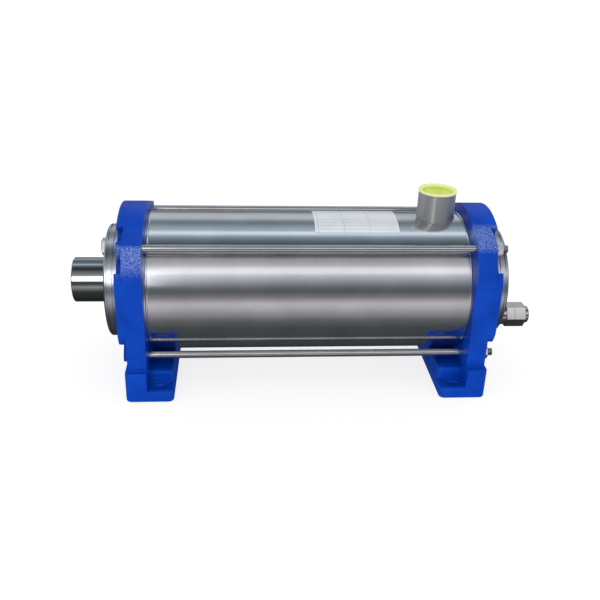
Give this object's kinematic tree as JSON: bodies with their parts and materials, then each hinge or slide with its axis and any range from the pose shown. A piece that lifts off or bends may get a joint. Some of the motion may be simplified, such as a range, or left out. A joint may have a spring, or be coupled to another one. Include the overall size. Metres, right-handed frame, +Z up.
{
  "type": "domestic water pump",
  "caption": "Horizontal sleeve-cased booster pump with end inlet, top outlet, tie rods and cast foot brackets.",
  "frame": {"origin": "on the floor plane, in the middle of the four foot slots", "axes": "+X along the pump axis towards the motor end, +Y to the back, +Z up"},
  "size_m": [0.5095, 0.179, 0.2128],
  "materials": {
    "blue_paint": "glossy blue enamel over a cast surface",
    "polished_steel": "bright polished stainless sheet",
    "satin_steel": "turned and brushed stainless steel",
    "turned_steel": "turned stainless steel",
    "lime_plastic": "soft lime-yellow plastic",
    "rod_steel": "drawn stainless bar",
    "zinc_steel": "bright zinc plating",
    "plated_brass": "nickel-plated brass",
    "fibre": "pressed fibre",
    "rubber": "black rubber",
    "label_foil": "matt silver foil, left bare",
    "pressed_steel": "pressed stainless sheet",
    "moulded_plastic": "dark glass-filled plastic",
    "impeller_plastic": "pale glass-filled plastic",
    "carbon": "carbon graphite",
    "cast_aluminium": "plain cast aluminium",
    "ceramic": "white ceramic",
    "spring_steel": "spring steel",
    "lamination": "stacked electrical steel",
    "copper": "enamelled copper wire",
    "ground_steel": "ground stainless shaft",
    "bearing_steel": "ground bearing steel"
  },
  "bodies": {
    "pump_body": {"suction_bracket": "blue_paint", "motor_bracket": "blue_paint", "jacket": "polished_steel", "suction_cover": "satin_steel", "motor_cover": "satin_steel", "inlet_socket": "turned_steel", "outlet_socket": "turned_steel", "tie_rods": "rod_steel", "tie_rod_washers": "zinc_steel", "tie_rod_nuts": "zinc_steel", "vent_plug": "plated_brass", "gland_body": "plated_brass", "gland_nut": "plated_brass", "gland_locknut": "plated_brass", "vent_washer": "fibre", "gland_seal": "rubber", "suction_gasket": "rubber", "motor_gasket": "rubber", "rating_label": "label_foil", "stage_bowl_1": "pressed_steel", "diffuser_1": "moulded_plastic", "wear_ring_1": "carbon", "stage_bowl_2": "pressed_steel", "diffuser_2": "moulded_plastic", "wear_ring_2": "carbon", "stage_bowl_3": "pressed_steel", "diffuser_3": "moulded_plastic", "wear_ring_3": "carbon", "stage_bowl_4": "pressed_steel", "diffuser_4": "moulded_plastic", "wear_ring_4": "carbon", "suction_guide": "pressed_steel", "motor_can": "pressed_steel", "discharge_lantern": "cast_aluminium", "front_end_bell": "cast_aluminium", "rear_end_bell": "cast_aluminium", "seal_seat": "ceramic", "wave_spring": "spring_steel", "stator_core": "lamination", "stator_windings": "copper", "front_bearing_outer": "bearing_steel", "rear_bearing_outer": "bearing_steel"},
    "rotor": {"shaft": "ground_steel", "rotor_core": "lamination", "stage_spacers": "pressed_steel", "impeller_nut": "pressed_steel", "seal_head": "carbon", "seal_spring": "spring_steel", "front_bearing_inner": "bearing_steel", "rear_bearing_inner": "bearing_steel", "impeller_1": "impeller_plastic", "impeller_2": "impeller_plastic", "impeller_3": "impeller_plastic", "impeller_4": "impeller_plastic"},
    "front_cage": {"front_bearing_balls": "bearing_steel"},
    "rear_cage": {"rear_bearing_balls": "bearing_steel"},
    "outlet_cap": {"outlet_cap": "lime_plastic"}
  },
  "joints": [
    {"name": "rotor_spin", "type": "hinge", "parent": "pump_body", "child": "rotor", "pos_m": [0, 0, 0.1053], "axis": [1, 0, 0], "continuous": true},
    {"name": "front_cage_spin", "type": "hinge", "parent": "pump_body", "child": "front_cage", "pos_m": [0, 0, 0.1053], "axis": [1, 0, 0], "continuous": true},
    {"name": "rear_cage_spin", "type": "hinge", "parent": "pump_body", "child": "rear_cage", "pos_m": [0, 0, 0.1053], "axis": [1, 0, 0], "continuous": true},
    {"name": "outlet_cap_pull", "type": "slide", "parent": "pump_body", "child": "outlet_cap", "axis": [0, 0, 1], "range_m": [0, 0.06]}
  ],
  "couplings": [
    {"joint": "front_cage_spin", "follows": "rotor_spin", "ratio": 0.3816},
    {"joint": "rear_cage_spin", "follows": "rotor_spin", "ratio": 0.3816}
  ]
}
